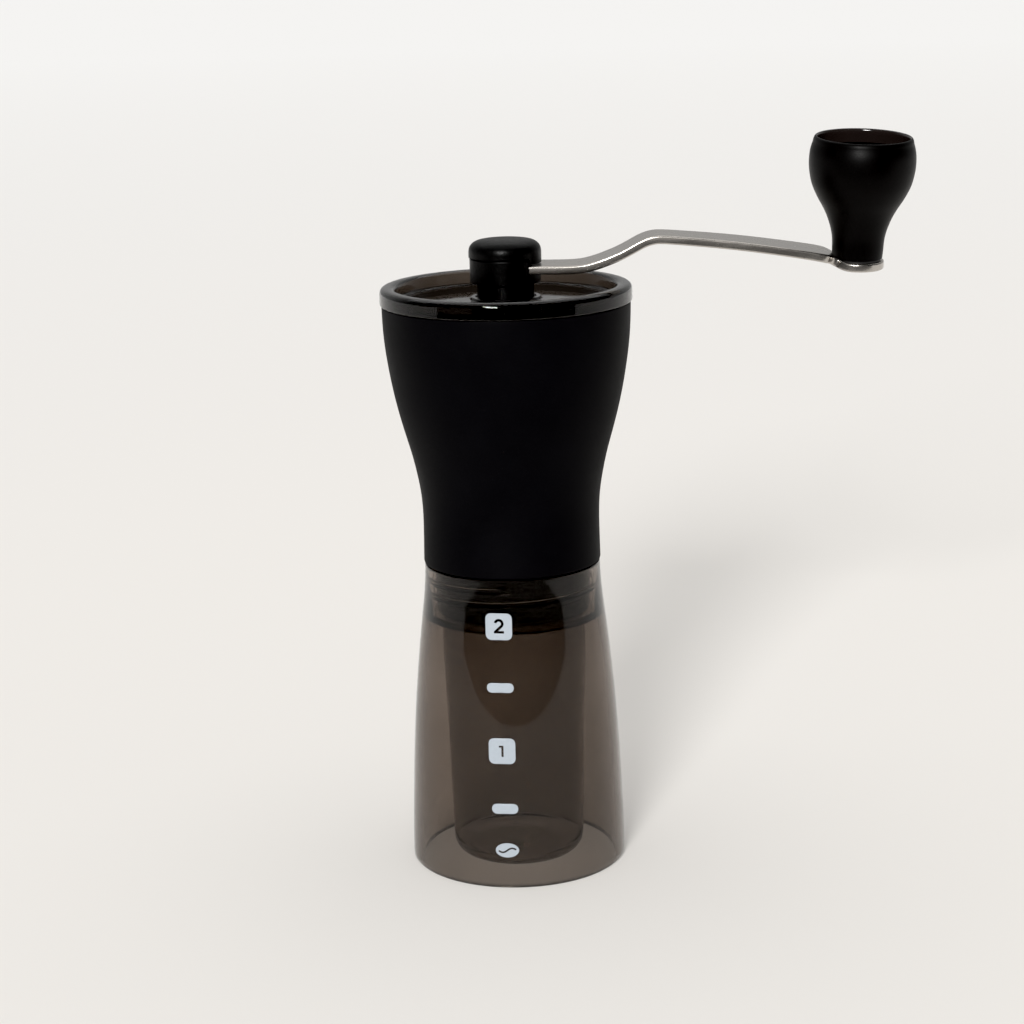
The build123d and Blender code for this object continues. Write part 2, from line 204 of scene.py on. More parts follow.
# =============================================================== materials
class Nodes:
    def __init__(self, name):
        self.mat = bpy.data.materials.new(name)
        self.mat.use_nodes = True
        self.t = self.mat.node_tree
        self.bsdf = self.t.nodes["Principled BSDF"]
        self.out = self.t.nodes["Material Output"]
        self.coord = self.add("ShaderNodeTexCoord").outputs["Object"]

    def add(self, kind, **props):
        n = self.t.nodes.new(kind)
        for k, v in props.items():
            setattr(n, k, v)
        return n

    def link(self, a, b):
        self.t.links.new(a, b)

    def noise(self, scale, detail=4.0, rough=0.55, stretch=None, offset=(0, 0, 0)):
        m = self.add("ShaderNodeMapping")
        m.inputs["Location"].default_value = offset
        m.inputs["Scale"].default_value = stretch or (1, 1, 1)
        self.link(self.coord, m.inputs["Vector"])
        n = self.add("ShaderNodeTexNoise")
        n.inputs["Scale"].default_value = scale
        n.inputs["Detail"].default_value = detail
        n.inputs["Roughness"].default_value = rough
        self.link(m.outputs["Vector"], n.inputs["Vector"])
        return n.outputs["Fac"]

    def ramp(self, fac, stops):
        r = self.add("ShaderNodeValToRGB")
        el = r.color_ramp.elements
        el[0].position, el[0].color = stops[0][0], (*stops[0][1], 1)
        el[1].position, el[1].color = stops[-1][0], (*stops[-1][1], 1)
        for pos, col in stops[1:-1]:
            e = el.new(pos)
            e.color = (*col, 1)
        self.link(fac, r.inputs["Fac"])
        return r.outputs["Color"]

    def span(self, fac, lo, hi, f0=0.3, f1=0.7):
        m = self.add("ShaderNodeMapRange")
        m.inputs["From Min"].default_value, m.inputs["From Max"].default_value = f0, f1
        m.inputs["To Min"].default_value, m.inputs["To Max"].default_value = lo, hi
        self.link(fac, m.inputs["Value"])
        return m.outputs["Result"]

    def math(self, op, a, b=0.0):
        m = self.add("ShaderNodeMath", operation=op)
        for i, v in enumerate((a, b)):
            if isinstance(v, (int, float)):
                m.inputs[i].default_value = v
            else:
                self.link(v, m.inputs[i])
        return m.outputs[0]

    def bump(self, height, strength, distance, normal=None):
        b = self.add("ShaderNodeBump")
        b.inputs["Strength"].default_value = strength
        b.inputs["Distance"].default_value = distance
        self.link(height, b.inputs["Height"])
        if normal is not None:
            self.link(normal, b.inputs["Normal"])
        return b.outputs["Normal"]

    def set(self, **vals):
        for k, v in vals.items():
            key = k.replace("_", " ")
            self.bsdf.inputs[key].default_value = v

    def to(self, out, key):
        self.link(out, self.bsdf.inputs[key])


def moulded(name, dark, light, rough, grain=0.0, grain_scale=2600, spec=0.5, spread=0.05, swirl=45):
    """Opaque moulded plastic: faint flow marks in colour and gloss, a spark-eroded grain in the normal."""
    n = Nodes(name)
    flow = n.noise(swirl, 5, 0.6)
    fine = n.noise(grain_scale, 2, 0.5)
    n.to(n.ramp(flow, [(0.3, dark), (0.72, light)]), "Base Color")
    r = n.math("ADD", n.span(flow, rough - spread, rough + spread), n.span(fine, -0.03, 0.03))
    n.to(r, "Roughness")
    n.bsdf.inputs["Specular IOR Level"].default_value = spec
    n.bsdf.inputs["IOR"].default_value = 1.5
    if grain > 0:
        b = n.bump(fine, grain, 0.00006)
        b = n.bump(n.noise(18, 2, 0.5), 0.08, 0.0004, b)
        n.to(b, "Normal")
    return n.mat


def smoked(name, absorb, rough=0.025, cup=None):
    """See-through smoked moulding: the colour comes from the thickness the light crosses; with cup set, the base colour
    also carries a deeper cup tint and a painted shade line along the foot's rim.
    """
    n = Nodes(name)
    n.set(Base_Color=(1, 1, 1, 1), IOR=1.52, Metallic=0.0, Specular_Tint=(0.5, 0.5, 0.5, 1))
    if cup:
        # the cup inside the skirt is a shade deeper
        xyz = n.add("ShaderNodeSeparateXYZ")
        n.link(n.coord, xyz.inputs[0])
        x, y = xyz.outputs["X"], xyz.outputs["Y"]
        r = n.math("SQRT", n.math("ADD", n.math("MULTIPLY", x, x), n.math("MULTIPLY", y, y)))
        # and painted shade darkens the foot's rim, where the section is seen edge on
        cup_tint_and_painted_rim_shade = n.math("MULTIPLY", n.span(r, cup, 1, 0.0212, 0.0222), n.span(xyz.outputs["Z"], 0.30, 1, 0.0004, 0.0011))
        n.to(n.ramp(cup_tint_and_painted_rim_shade, [(0.0, (0, 0, 0)), (1.0, (1, 1, 1))]), "Base Color")
    n.bsdf.inputs["Transmission Weight"].default_value = 1.0
    wipe = n.noise(70, 4, 0.6, (1, 1, 0.35))
    n.to(n.span(wipe, rough * 0.5, rough * 1.8), "Roughness")
    n.to(n.bump(n.noise(16, 1, 0.4, (1, 1, 0.5)), 0.02, 0.0002), "Normal")
    v = n.add("ShaderNodeVolumeAbsorption")
    density = max(absorb)
    v.inputs["Density"].default_value = density
    v.inputs["Color"].default_value = (*[1 - a / density for a in absorb], 1)
    n.link(v.outputs["Volume"], n.out.inputs["Volume"])
    return n.mat


def steel(name, base, rough, stretch, fine=0.25, tarnish=0.06):
    """Stainless steel with a lay of fine lines along one direction."""
    n = Nodes(name)
    lay = n.noise(260, 4, 0.7, stretch)
    lay2 = n.noise(900, 2, 0.6, stretch)
    cloud = n.noise(60, 3, 0.5)
    c0 = tuple(c * (1 - tarnish) for c in base)
    n.to(n.ramp(n.math("ADD", n.math("MULTIPLY", lay, 0.6), n.math("MULTIPLY", cloud, 0.4)), [(0.3, c0), (0.7, base)]), "Base Color")
    n.bsdf.inputs["Metallic"].default_value = 1.0
    n.to(n.math("ADD", n.span(lay, rough - 0.05, rough + 0.06), n.span(cloud, -0.03, 0.03)), "Roughness")
    n.to(n.bump(n.math("ADD", lay, lay2), fine, 0.00002), "Normal")
    return n.mat


def ceramic(name):
    n = Nodes(name)
    speck = n.noise(1400, 3, 0.6)
    cloud = n.noise(120, 3, 0.5)
    n.to(n.ramp(cloud, [(0.3, (0.74, 0.72, 0.66)), (0.7, (0.84, 0.83, 0.78))]), "Base Color")
    n.to(n.span(speck, 0.36, 0.55), "Roughness")
    n.to(n.bump(speck, 0.15, 0.00005), "Normal")
    n.bsdf.inputs["Subsurface Weight"].default_value = 0.08
    n.bsdf.inputs["Subsurface Radius"].default_value = (0.001, 0.0008, 0.0006)
    n.bsdf.inputs["Subsurface Scale"].default_value = 0.5
    return n.mat


M_JAR = smoked("smoked_jar", (350, 398, 440), rough=0.014, cup=0.87)
M_LID = smoked("smoked_lid", (560, 605, 645), rough=0.012)
M_BODY = moulded("body_black", (0.0016, 0.0015, 0.0021), (0.0027, 0.0026, 0.0034), 0.56, grain=0.35, spec=0.05)
M_HUB = moulded("hub_black", (0.0014, 0.0013, 0.0014), (0.0026, 0.0025, 0.0026), 0.34, grain=1.0, grain_scale=1000, spec=0.10)
M_KNOB = moulded("knob_black", (0.0014, 0.0012, 0.0013), (0.0026, 0.0023, 0.0023), 0.38, grain=0.25, grain_scale=2200, spec=0.07)
# the bowl's reddish brown, lighter than the knob's black, is a painted reflection; the knob is one black moulding
M_BOWL_PAINTED_REFLECTION = moulded("knob_bowl_gloss_painted_reflection", (0.013, 0.0095, 0.0088), (0.020, 0.0145, 0.0135), 0.14, grain=0.05, spec=0.5)
M_INNER = moulded("inner_black", (0.016, 0.016, 0.017), (0.024, 0.024, 0.025), 0.42, grain=0.2)
M_ACETAL = moulded("acetal", (0.64, 0.63, 0.58), (0.74, 0.73, 0.69), 0.38, grain=0.1)
M_NYLON = moulded("nylon", (0.012, 0.012, 0.012), (0.02, 0.02, 0.02), 0.45, grain=0.1)
M_CERAMIC = ceramic("burr_ceramic")
M_ARM = steel("arm_steel", (0.52, 0.49, 0.455), 0.25, (0.06, 1, 1), fine=0.30)
M_SHAFT = steel("shaft_steel", (0.60, 0.60, 0.58), 0.24, (1, 1, 0.25))
M_RIVET = steel("rivet_steel", (0.66, 0.65, 0.63), 0.13, (1, 1, 0.6), fine=0.1)
M_SPRING = steel("spring_steel", (0.50, 0.50, 0.50), 0.28, (1, 1, 1))
M_BRASS = steel("insert_brass", (0.66, 0.47, 0.20), 0.25, (1, 1, 0.4))


def print_ink():
    n = Nodes("pad_print")
    grainy = n.noise(1800, 3, 0.6)
    n.to(n.ramp(grainy, [(0.25, (0.340, 0.385, 0.430)), (0.75, (0.380, 0.425, 0.475))]), "Base Color")
    n.to(n.span(grainy, 0.42, 0.55), "Roughness")
    n.to(n.bump(grainy, 0.08, 0.00003), "Normal")
    return n.mat


M_INK = print_ink()

# =============================================================== jar
jar_outer = [
    (31.55, 0.7), (31.42, 10), (31.05, 20), (30.62, 30), (30.05, 40), (29.3, 50),
    (28.38, 60), (27.3, 70), (26.1, 80), (25.68, 85), (25.5, 89.4),
]
skirt_inner = [
    (24.15, 73.2), (25.35, 65), (26.6, 54), (27.52, 40), (28.1, 30), (28.55, 20), (28.95, 7), (29.0, 0.25),
]


def thread(root, crest, z0, turns, pitch=4.0, sign=-1):
    depth = abs(crest - root)

    def warp(r, z, th):
        if abs(r - root) > 0.02:
            return r, z
        best = 0.0
        for k in range(int(turns) + 1):
            t = th + 2 * math.pi * k
            if t > turns * 2 * math.pi:
                continue
            d = abs(z - (z0 + pitch * t / (2 * math.pi)))
            h = max(0.0, min(1.0, (0.85 - d) / 0.45))
            h = h * h * (3 - 2 * h)
            fade = min(1.0, t / 0.25, (turns * 2 * math.pi - t) / 0.25)
            best = max(best, h * max(0.0, fade))
        return r + sign * depth * best, z

    return warp


bore_rows = [(23.75, z) for z in np.arange(88.6, 77.4, -0.17)]
jar_pts = profile([
    (29.0, 0.0, 0.25), (31.0, 0.0, 0.35), spline(jar_outer, 1.5), (25.5, 90.0, 0.55), (24.25, 90.0, 0.2), (23.75, 89.5, 0.2),
    [q for q in bore_rows],
    (23.75, 75.7, 0.3), (19.6, 75.7, 0.5), (17.95, 2.8, 4.0), (0.0, 2.8),
])
# the underside follows on from the axis: cup bottom, cup wall, web, skirt
jar_under = profile([
    (0.0, 0.95), (1.3, 0.95, 0.12), (1.3, 1.3, 0.1), (19.15, 1.3, 5.0), (21.08, 74.2, 0.9), (24.1, 74.2, 0.9),
    spline(skirt_inner, 1.5), (29.0, 0.0),
])


def lathe_two(name, first, second, mat, seg=192, warp=None):
    """first ends on the axis, second starts on the axis and ends where first starts."""
    verts, faces, rows = [], [], []
    for group in (first, second):
        part = []
        for r, z in group:
            if r < 1e-9:
                part.append([len(verts)])
                verts.append((0, 0, z * MM))
                continue
            row = []
            for j in range(seg):
                th = 2 * math.pi * j / seg
                rr, zz = warp(r, z, th) if warp else (r, z)
                row.append(len(verts))
                verts.append((rr * math.cos(th) * MM, rr * math.sin(th) * MM, zz * MM))
            part.append(row)
        rows.append(part)
    runs = list(zip(rows[0], rows[0][1:])) + list(zip(rows[1], rows[1][1:])) + [(rows[1][-1], rows[0][0])]
    for a, b in runs:
        for j in range(seg):
            k = (j + 1) % seg
            if len(a) == 1:
                faces.append((a[0], b[k], b[j]))
            elif len(b) == 1:
                faces.append((a[j], a[k], b[0]))
            else:
                faces.append((a[j], a[k], b[k], b[j]))
    return mesh_object(name, verts, faces, mat)


jar = lathe_two("jar_shell", jar_pts, jar_under, M_JAR, 224, thread(23.75, 23.35, 79.6, 1.75))
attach(jar, "jar")
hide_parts("grounds_jar")

# =============================================================== hopper
hopper_outer = [
    (35.5, 165.0), (35.2, 157), (34.15, 148), (32.75, 140), (31.4, 134), (29.8, 128),
    (28.15, 122), (26.8, 115.8), (25.9, 110), (25.55, 104), (25.57, 98), (25.7, 91.3),
]
hopper_inner = [
    (23.3, 102.6), (23.45, 108), (24.2, 114), (25.45, 120), (27.45, 128), (29.05, 134),
    (30.4, 140), (31.75, 148), (32.6, 155), (33.0, 160),
]
spigot_rows = [(22.7, z) for z in np.arange(87.0, 76.6, -0.17)]
hopper_pts = profile([
    (33.0, 160.0), (33.0, 165.6, 0.35), (35.5, 165.6, 0.45), spline(hopper_outer, 1.6), (25.7, 90.35, 0.5),
    (22.7, 90.35, 0.15), [q for q in spigot_rows], (22.7, 76.5, 0.1), (22.2, 76.0, 0.1), (21.2, 76.0, 0.15),
    (21.2, 92.4, 0.2), (16.8, 92.4, 0.3), (16.8, 94.0, 0.4), spline(hopper_inner, 1.6),
])
hopper = lathe("hopper_shell", hopper_pts[:-1], M_BODY, 224, thread(22.7, 23.1, 77.8, 1.75, sign=1))
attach(hopper, "hopper")
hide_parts("hopper_body")

# =============================================================== lid
lid_pts = profile([
    (4.0, 164.5, 0.2), (30.4, 164.5, 0.6), (31.1, 163.6, 0.3), (31.1, 160.0, 0.3), (32.7, 160.0, 0.4), (32.7, 165.8, 0.15),
    (36.0, 165.8, 0.35), (35.98, 168.3, 0.2),
    spline([(35.98, 168.9), (35.78, 169.8), (35.15, 170.38), (34.3, 170.58), (33.3, 170.6), (32.35, 170.45), (31.7, 170.0), (31.35, 169.2)], 0.22),
    (31.05, 167.6, 0.3), (30.85, 166.5, 0.7), (10.2, 166.5, 0.35), (9.95, 167.35, 0.3), (8.65, 167.35, 0.25), (8.65, 166.5, 0.2),
    (4.0, 166.5, 0.2), (4.0, 164.7),
])
lid = lathe("lid_shell", lid_pts, M_LID, 224)
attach(lid, "lid")
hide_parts("lid")

# =============================================================== crank hub
def hub_warp(r, z, th):
    """The wall drops to the slot floor over the strip, on the +X side."""
    if z > 177.0 and r > 7.0:
        a = abs(math.atan2(math.sin(th), math.cos(th)))
        edge = math.asin(min(1.0, 7.75 / max(r, 7.76)))
        if a < edge:
            return r, 174.0 + (z - 177.0) * 0.02
    return r, z


hub_pts = profile([
    (3.3, 167.0, 0.1), (8.15, 167.0, 0.35), (8.15, 171.3, 0.7), (10.1, 171.3, 0.45), (10.1, 177.95), (10.0, 178.3),
    (7.9, 178.3), (7.8, 178.0), (7.8, 173.95), (3.3, 173.95), (3.3, 167.2),
], seg=5)
hub = lathe("hub_body", hub_pts, M_HUB, 256, hub_warp)
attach(hub, "crank")
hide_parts("hub_socket")


def cap_warp(r, z, th):
    """The rim of the cap reaches down over the strip on the +X side."""
    if z < 178.9 and r > 8.6:
        a = abs(math.atan2(math.sin(th), math.cos(th)))
        edge = math.asin(7.7 / 10.35)
        if a < edge:
            return r, z - 1.55 * min(1.0, (178.9 - z) / 0.3)
    return r, z


cap_pts = profile([
    (0.0, 178.36), (8.8, 178.36), (10.35, 178.36, 0.25), (10.35, 180.0),
    spline([(10.35, 180.0), (10.15, 181.17), (9.5, 182.2), (8.4, 182.95), (6.6, 183.39), (3.4, 183.6), (0.0, 183.65)], 0.5),
], seg=4)
cap = lathe("hub_cap_dome", cap_pts, M_HUB, 256, cap_warp)
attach(cap, "crank")
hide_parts("hub_cap")

# =============================================================== crank arm
arm_line = [
    (-9.0, 176.4), (0.0, 176.4), (10.0, 176.4), (20.2, 176.4), (22.4, 176.62), (24.7, 177.15), (27.0, 177.85),
    (29.2, 178.65), (31.5, 179.55), (33.7, 180.6), (36.0, 181.8), (38.2, 182.95), (40.5, 183.8), (42.8, 184.2),
    (45.5, 184.15), (51.7, 183.6), (60.7, 182.65), (69.7, 181.5), (78.6, 180.15), (85.5, 179.0), (89.6, 178.2),
    (91.7, 177.6), (93.5, 176.75), (95.1, 175.95), (96.9, 175.5), (99.9, 175.35), (103.7, 175.22), (108.2, 175.06),
]
dense = np.array(spline(arm_line, 0.1))
arc = np.concatenate([[0], np.cumsum(np.hypot(*np.diff(dense, axis=0).T))])
tang = np.gradient(dense, axis=0)
tang /= np.linalg.norm(tang, axis=1)[:, None]


def at_x(x):
    return float(np.interp(x, dense[:, 0], arc))


def arm_point(s, y, t):
    x, z = np.interp(s, arc, dense[:, 0]), np.interp(s, arc, dense[:, 1])
    tx, tz = np.interp(s, arc, tang[:, 0]), np.interp(s, arc, tang[:, 1])
    nx, nz = -tz, tx
    roll = math.radians(np.interp(x, [40, 90, 96.5], [0, 3.0, 5.0]))
    c, sn = math.cos(roll), math.sin(roll)
    side = (sn * nx, c, sn * nz)
    up = (c * nx, -sn, c * nz)
    return (
        (x + y * side[0] + t * up[0]) * MM,
        (y * side[1] + t * up[1]) * MM,
        (z + y * side[2] + t * up[2]) * MM,
    )


def build_arm():
    s0, se = at_x(0.0), at_x(99.9)
    out = []
    # lower edge from the hub outwards, round the eye, and back
    for a in np.linspace(90, 270, 31)[:-1]:
        out.append((s0 + 7.5 * math.cos(math.radians(a)), 7.5 * math.sin(math.radians(a))))
    for x in np.arange(0.0, 88.3, 0.8):
        out.append((at_x(x), -7.5))
    shoulder = spline([(88.4, -7.5), (90.2, -7.28), (91.6, -6.55), (92.5, -5.6), (93.4, -5.05), (94.5, -5.05)], 0.35)
    out += [(at_x(x), y) for x, y in shoulder]
    start = math.degrees(math.atan2(-5.3, -math.sqrt(7.6**2 - 5.3**2)))      # about -135.8
    for a in np.linspace(start, -start, 61):
        out.append((se + 7.6 * math.cos(math.radians(a)), 7.6 * math.sin(math.radians(a))))
    out += [(at_x(x), -y) for x, y in reversed(shoulder)]
    for x in np.arange(88.0, -0.1, -0.8):
        out.append((at_x(x), 7.5))
    pts = [out[0]]
    for p in out[1:]:
        if math.hypot(p[0] - pts[-1][0], p[1] - pts[-1][1]) > 0.12:
            pts.append(p)
    if math.hypot(pts[0][0] - pts[-1][0], pts[0][1] - pts[-1][1]) < 0.12:
        pts.pop()
    n = len(pts)
    P = np.array(pts)
    prev, nxt = np.roll(P, 1, axis=0), np.roll(P, -1, axis=0)
    d = nxt - prev
    d /= np.linalg.norm(d, axis=1)[:, None]
    inward = np.stack([-d[:, 1], d[:, 0]], axis=1)       # outline runs anticlockwise
    area = 0.5 * np.sum(P[:, 0] * nxt[:, 1] - nxt[:, 0] * P[:, 1])
    if area < 0:
        inward = -inward
    edge = [(0.52, 0.0), (0.30, -0.045), (0.13, -0.145), (0.035, -0.31), (0.0, -0.52), (0.0, -1.2),
            (0.0, -1.88), (0.035, -2.09), (0.13, -2.255), (0.30, -2.355), (0.52, -2.4)]
    verts, faces = [], []
    loops = []
    for ins, t in edge:
        row = []
        for i in range(n):
            q = P[i] + inward[i] * ins
            row.append(len(verts))
            verts.append(arm_point(q[0], q[1], t))
        loops.append(row)
    for a, b in zip(loops, loops[1:]):
        for i in range(n):
            k = (i + 1) % n
            faces.append((a[i], a[k], b[k], b[i]))
    inner = P + inward * 0.52
    ring = [Vector(q) for q in inner]
    grid = []
    for s in np.arange(s0 - 6.5, se + 6.8, 1.1):
        for y in np.arange(-6.6, 6.7, 1.1):
            q = np.array((s, y))
            if np.min(np.linalg.norm(inner - q, axis=1)) < 0.55:
                continue
            # even-odd test against the ring
            inside = False
            for i in range(n):
                a, b = inner[i], inner[(i + 1) % n]
                if (a[1] > y) != (b[1] > y) and s < (b[0] - a[0]) * (y - a[1]) / (b[1] - a[1]) + a[0]:
                    inside = not inside
            if inside:
                grid.append(Vector((s, y)))
    vs, _, tris, ov, _, _ = delaunay_2d_cdt(ring + grid, [(i, (i + 1) % n) for i in range(n)], [list(range(n))], 1, 1e-6)
    top, low = {}, {}
    for i, v in enumerate(vs):
        src = [o for o in ov[i] if o < n]
        if src:
            top[i], low[i] = loops[0][src[0]], loops[-1][src[0]]
        else:
            top[i] = len(verts)
            verts.append(arm_point(v[0], v[1], 0.0))
            low[i] = len(verts)
            verts.append(arm_point(v[0], v[1], -2.4))
    for f in tris:
        faces.append([top[i] for i in f])
        faces.append([low[i] for i in reversed(f)])
    return mesh_object("crank_strip", verts, faces, M_ARM)


arm = build_arm()
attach(arm, "crank")
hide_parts("crank_arm")

# =============================================================== knob
tilt = (
    Matrix.Translation(Vector((99.9, 0, 175.35)) * MM)
    @ Matrix.Rotation(math.radians(2.0), 4, "Y")
    @ Matrix.Rotation(math.radians(5.0), 4, "X")
)
knob_outer = [
    (7.1, 1.0), (7.2, 2.35), (7.28, 4.45), (7.45, 6.4), (7.85, 8.35), (8.5, 10.45), (9.45, 12.8), (10.65, 15.1),
    (11.95, 17.25), (13.05, 19.35), (13.95, 21.5), (14.55, 23.9), (14.9, 26.35), (14.95, 28.65), (14.7, 31.15), (14.1, 33.3),
]
knob_rim = [(14.1, 33.3), (13.92, 34.15), (13.6, 34.72), (13.3, 34.88), (13.0, 34.64), (12.85, 34.05)]
knob_inner = [
    (12.85, 34.05), (13.2, 31.95), (13.35, 29.4), (13.15, 26.35), (12.55, 23.4), (11.4, 20.3), (9.75, 17.25), (7.9, 14.4),
    (6.4, 12.2), (5.6, 10.7),
]
knob_pts = profile([
    (3.05, 0.55, 0.1), (7.1, 0.55, 0.4), spline(knob_outer, 0.8), spline(knob_rim, 0.22)[1:-1], spline(knob_inner, 0.8),
    (4.8, 10.7, 0.25), (4.8, 9.2, 0.1), (3.05, 9.2, 0.1), (3.05, 0.7),
])
knob = lathe("knob_goblet", knob_pts, M_KNOB, 192)
# the faces inside the bowl take the painted-reflection colour
knob.data.materials.append(M_BOWL_PAINTED_REFLECTION)
for poly in knob.data.polygons:
    c = poly.center
    r, h = math.hypot(c.x, c.y) / MM, c.z / MM
    inner_r = np.interp(h, [9.0, 10.7, 14.4, 20.3, 26.35, 31.95, 34.7], [4.9, 5.7, 8.0, 11.5, 13.25, 13.3, 13.2])
    if h > 9.5 and r < inner_r:
        poly.material_index = 1
knob.data.transform(tilt)
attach(knob, "knob")
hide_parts("knob")

# =============================================================== spring
def build_spring():
    mean, wire, pitch, height, z0 = 5.05, 0.45, 1.636, 8.18, 94.67
    turns = height / pitch
    steps, sides = int(turns * 48), 12
    verts, faces = [], []
    for i in range(steps + 1):
        a = 2 * math.pi * turns * i / steps
        c = Vector((mean * math.cos(a), mean * math.sin(a), z0 + height * i / steps))
        tan = Vector((-mean * math.sin(a), mean * math.cos(a), pitch / (2 * math.pi))).normalized()
        out = Vector((math.cos(a), math.sin(a), 0))
        up = tan.cross(out)
        for j in range(sides):
            b = 2 * math.pi * j / sides
            verts.append((c + out * (wire * math.cos(b)) + up * (wire * math.sin(b))) * MM)
    for i in range(steps):
        for j in range(sides):
            k = (j + 1) % sides
            faces.append((i * sides + j, i * sides + k, (i + 1) * sides + k, (i + 1) * sides + j))
    faces.append(tuple(range(sides)))
    faces.append(tuple(steps * sides + j for j in reversed(range(sides))))
    return mesh_object("spring_coil", verts, faces, M_SPRING)


spring = build_spring()
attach(spring, "drive")
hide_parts("burr_spring")

# =============================================================== printed marks
jar_z = np.array([q[1] for q in spline(jar_outer, 0.5)])
jar_r = np.array([q[0] for q in spline(jar_outer, 0.5)])


def on_jar(x, z, lift):
    r = float(np.interp(z, jar_z, jar_r)) + lift
    y = -math.sqrt(max(r * r - x * x, 0.0))
    return (x * MM, y * MM, z * MM)


def round_rect(cx, cz, w, h, r, k=7):
    pts = []
    for sx, sz, a0 in ((1, 1, 0), (-1, 1, 90), (-1, -1, 180), (1, -1, 270)):
        for j in range(k + 1):
            a = math.radians(a0 + 90 * j / k)
            pts.append((cx + sx * (w / 2 - r) + r * math.cos(a), cz + sz * (h / 2 - r) + r * math.sin(a)))
    return pts


def stroke(points, width):
    """Outline of a constant-width stroke with square ends."""
    p = np.array(points, float)
    d = np.gradient(p, axis=0)
    d /= np.linalg.norm(d, axis=1)[:, None]
    n = np.stack([-d[:, 1], d[:, 0]], axis=1) * width / 2
    return [tuple(q) for q in p + n] + [tuple(q) for q in (p - n)[::-1]]


def arc_pts(cx, cz, r, a0, a1, k):
    return [(cx + r * math.cos(math.radians(a)), cz + r * math.sin(math.radians(a))) for a in np.linspace(a0, a1, k)]


def inside(poly, x, y):
    hit = False
    for i in range(len(poly)):
        (x0, y0), (x1, y1) = poly[i], poly[(i + 1) % len(poly)]
        if (y0 > y) != (y1 > y) and x < (x1 - x0) * (y - y0) / (y1 - y0) + x0:
            hit = not hit
    return hit


def decal(name, outer, holes=(), lift=0.015, thick=0.06):
    """A film of ink on the jar's outer face, with open cut-outs."""
    pts, edges = [], []
    for poly in (outer, *holes):
        b = len(pts)
        pts += [Vector(p) for p in poly]
        edges += [(b + i, b + (i + 1) % len(poly)) for i in range(len(poly))]
    x0, x1 = min(p[0] for p in outer), max(p[0] for p in outer)
    z0, z1 = min(p[1] for p in outer), max(p[1] for p in outer)
    for x in np.arange(x0 + 0.4, x1, 0.55):
        for z in np.arange(z0 + 0.4, z1, 0.55):
            if inside(outer, x, z) and not any(inside(h, x, z) for h in holes):
                if min(math.hypot(p[0] - x, p[1] - z) for p in pts[:]) > 0.18:
                    pts.append(Vector((x, z)))
    vs, _, tris, _, _, _ = delaunay_2d_cdt(pts, edges, [], 0, 1e-6)
    keep = []
    for f in tris:
        cx = sum(vs[i][0] for i in f) / len(f)
        cz = sum(vs[i][1] for i in f) / len(f)
        if inside(outer, cx, cz) and not any(inside(h, cx, cz) for h in holes):
            keep.append(list(f))
    used = sorted({i for f in keep for i in f})
    idx = {i: k for k, i in enumerate(used)}
    n = len(used)
    verts = [on_jar(vs[i][0], vs[i][1], lift + thick) for i in used] + [on_jar(vs[i][0], vs[i][1], lift) for i in used]
    faces = [[idx[i] for i in f] for f in keep] + [[idx[i] + n for i in reversed(f)] for f in keep]
    count = {}
    for f in keep:
        for a, b in zip(f, f[1:] + f[:1]):
            count[(a, b)] = count.get((a, b), 0) + 1
    for (a, b) in count:
        if (b, a) not in count:
            faces.append([idx[b], idx[a], idx[a] + n, idx[b] + n])
    ob = mesh_object(name, verts, faces, M_INK)
    ob.data.polygons.foreach_set("use_smooth", [False] * len(ob.data.polygons))
    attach(ob, "jar")
    return ob


MARK_X = -4.35
# digit two: a bow, a diagonal and a foot
bow = arc_pts(0, 0, 1.02, 168, -38, 15)
two = bow + [(-0.98, -2.28)]
two_path = []
for a, b in zip(two, two[1:]):
    two_path += [a]
two_path.append(two[-1])
two_out = stroke(two_path, 0.78)
decal("mark_two", round_rect(MARK_X, 76.9, 7.5, 7.6, 1.6),
      [[(MARK_X + x, 77.75 + z) for x, z in two_out],
       [(MARK_X + x, 75.35 + z) for x, z in ((-1.40, -0.36), (1.45, -0.36), (1.45, 0.36), (-1.40, 0.36))]])
decal("mark_half_top", round_rect(MARK_X, 59.4, 7.6, 2.8, 1.35))
one = [(-0.95, 1.05), (-0.95, 1.62), (0.36, 1.62), (0.36, -1.62), (-0.26, -1.62), (-0.26, 1.05)]
decal("mark_one", round_rect(MARK_X + 0.05, 41.05, 7.6, 7.5, 1.6), [[(MARK_X + 0.1 + x, 41.05 + z) for x, z in one]])
decal("mark_half_low", round_rect(MARK_X + 0.5, 24.0, 7.5, 3.0, 1.45))


def bean(cx, cz, a, b, k=40):
    return [(cx + a * math.cos(2 * math.pi * i / k), cz + b * math.sin(2 * math.pi * i / k)) for i in range(k)]


slit = stroke([(x, 0.62 * math.sin(x * 1.15)) for x in np.linspace(-2.5, 2.5, 19)], 0.5)
decal("mark_bean", bean(-3.5, 11.6, 3.35, 2.15), [[(-3.5 + x, 11.6 + z) for x, z in slit]])

# =============================================================== carried-over CAD nodes
for name, mat in {
    "shaft_guide": M_INNER, "shaft_bush": M_ACETAL, "burr_carrier": M_INNER, "outer_burr": M_CERAMIC,
    "drive_shaft": M_SHAFT, "retaining_clip": M_SPRING, "thrust_washer": M_SHAFT, "upper_spring_washer": M_SHAFT,
    "inner_burr": M_CERAMIC, "burr_core": M_ACETAL, "lower_spring_washer": M_SHAFT, "adjusting_nut": M_INNER,
    "nut_insert": M_BRASS, "hex_insert": M_SHAFT, "knob_rivet": M_RIVET, "knob_washer": M_NYLON,
}.items():
    ob = nodes[name]
    ob.data.materials.clear()
    ob.data.materials.append(mat)


# =============================================================== stage
def stage_plane(name, x0, x1, y0, y1, z, mat):
    me = bpy.data.meshes.new(name)
    me.from_pydata([(x0, y0, z), (x1, y0, z), (x1, y1, z), (x0, y1, z)], [], [(0, 1, 2, 3)])
    ob = bpy.data.objects.new(name, me)
    me.materials.append(mat)
    scene.collection.objects.link(ob)
    return ob


